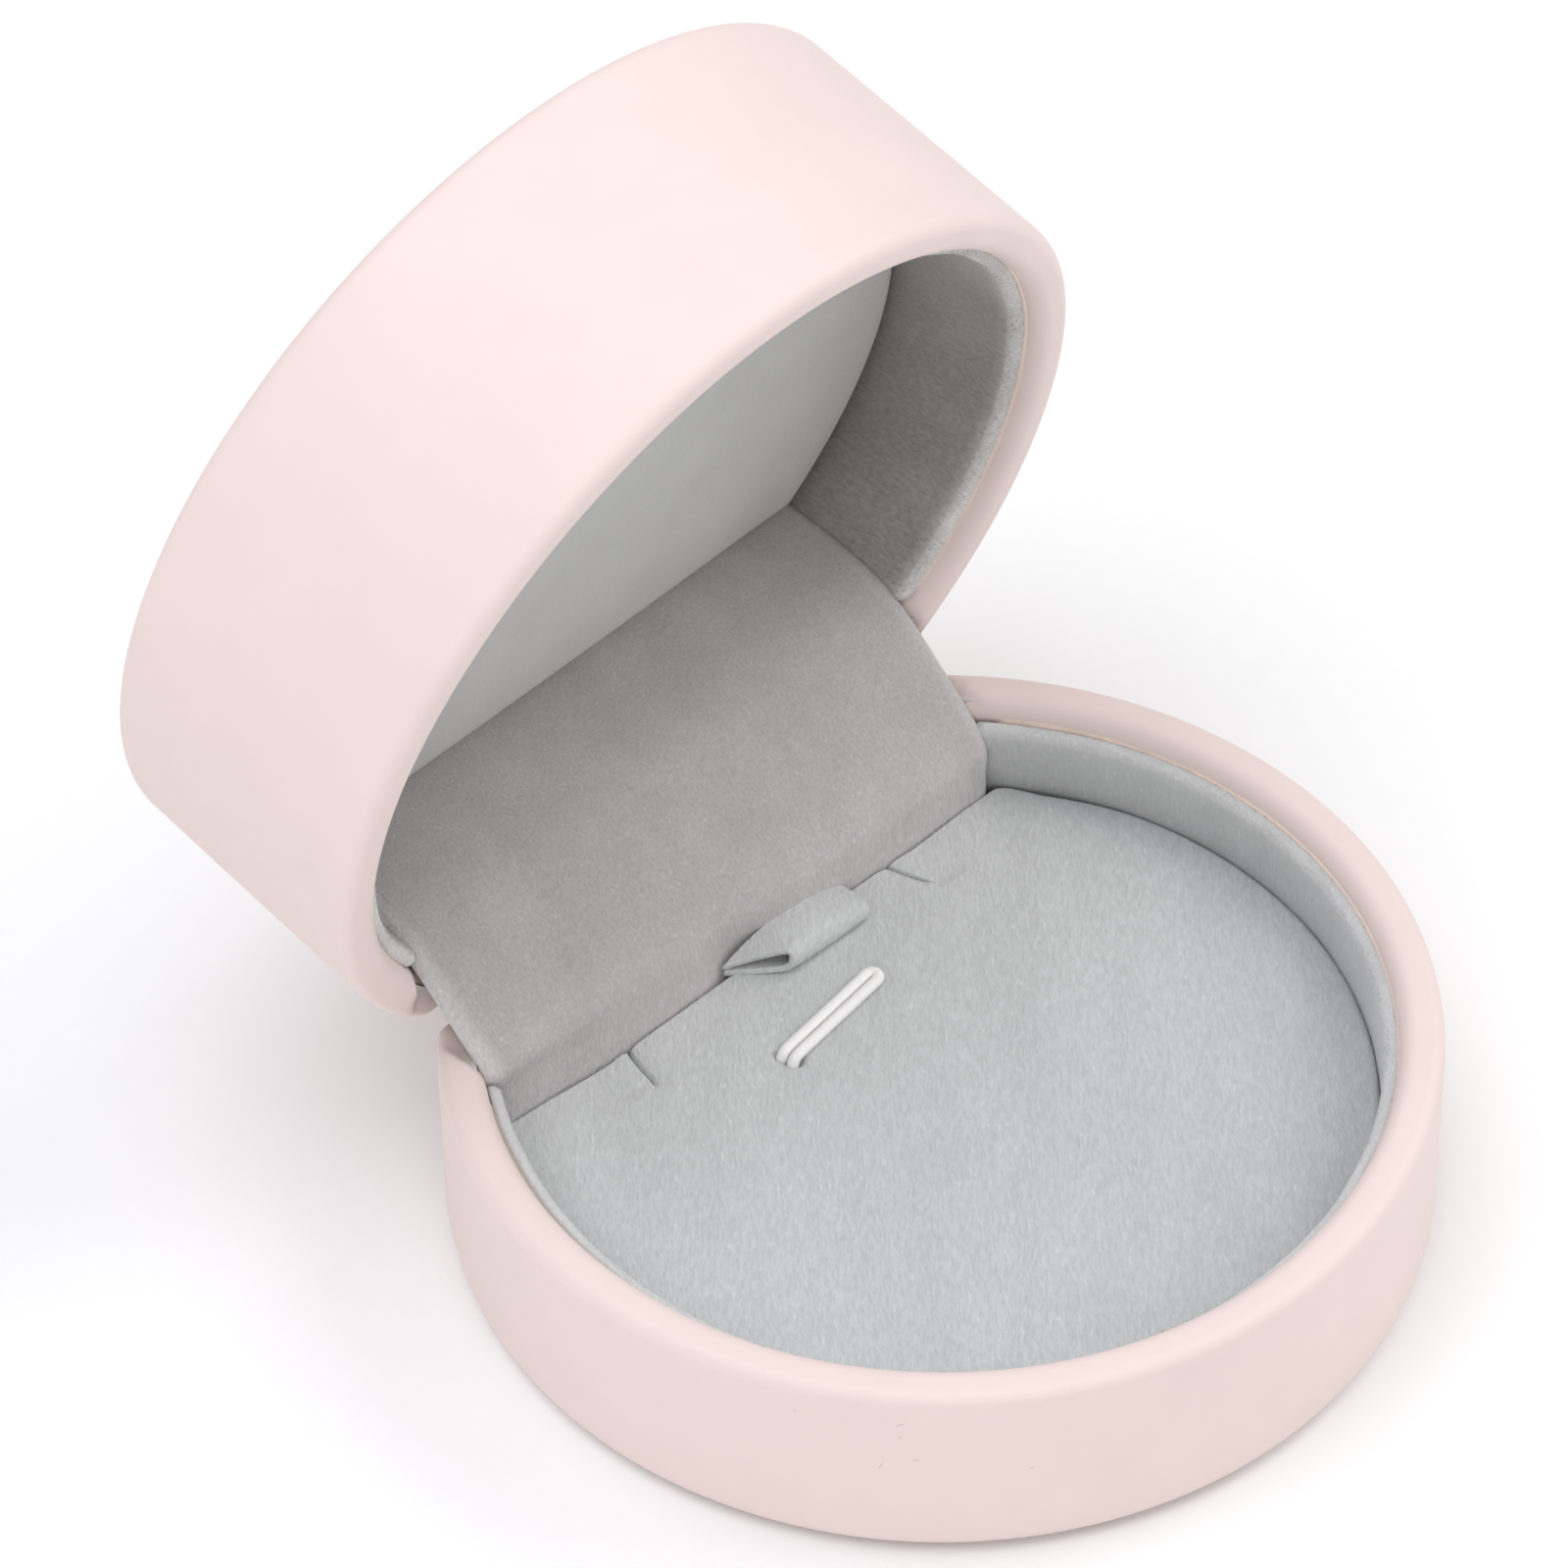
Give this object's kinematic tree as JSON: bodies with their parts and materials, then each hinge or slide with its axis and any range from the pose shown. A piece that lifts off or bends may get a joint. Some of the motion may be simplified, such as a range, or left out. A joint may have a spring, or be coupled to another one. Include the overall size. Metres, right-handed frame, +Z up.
{
  "type": "jewellery case",
  "caption": "Round leather-covered pendant case with a flat hinged back, velvet-lined well and lid, lift-out velvet pad with an elastic loop, and a velvet hinge flap.",
  "frame": {"origin": "centre of the base's round outline, on its underside", "axes": "+Z up, +Y towards the flat back and the hinge, +X along the hinge, to the right as seen from the front"},
  "size_m": [0.09, 0.1076, 0.101],
  "materials": {
    "leather": "matt, very fine grain, pale pink",
    "rigid_core": "moulded, matt",
    "card": "plain",
    "velvet": "short-pile velvet, light grey",
    "flap_velvet": "short-pile velvet, warm mid grey",
    "lid_pad_cloth": "smooth brushed cloth, light grey",
    "foam": "soft foam, white",
    "elastic": "smooth, white",
    "steel": "plated, satin"
  },
  "bodies": {
    "base": {"base_shell": "rigid_core", "base_leather": "leather", "bottom_sheet": "leather", "base_liner_card": "card", "base_liner_velvet": "velvet", "pad_riser": "card", "hinge_leaf_base": "steel", "base_hinge_rivets": "steel", "hinge_pin": "steel", "hinge_spring": "steel", "flap_card_base": "card", "hinge_flap": "flap_velvet"},
    "insert": {"pad_board": "card", "pad_foam": "foam", "pad_velvet": "velvet", "pull_tab": "velvet", "elastic_loop": "elastic"},
    "lid": {"lid_shell": "rigid_core", "lid_leather": "leather", "lid_top_leather": "leather", "lid_liner_card": "card", "lid_liner_velvet": "velvet", "lid_spacer": "foam", "lid_pad_board": "card", "lid_pad_foam": "foam", "lid_pad_velvet": "lid_pad_cloth", "hinge_leaf_lid": "steel", "lid_hinge_rivets": "steel", "flap_card_lid": "card"}
  },
  "joints": [
    {"name": "lid_hinge", "type": "hinge", "parent": "base", "child": "lid", "pos_m": [0, 0.0325, 0.0188], "axis": [-1, 0, 0], "range_deg": [-77, 0], "deforming": ["hinge_flap", "hinge_spring"]},
    {"name": "insert_lift", "type": "slide", "parent": "base", "child": "insert", "axis": [0, 0, 1], "range_m": [0, 0.014]}
  ]
}
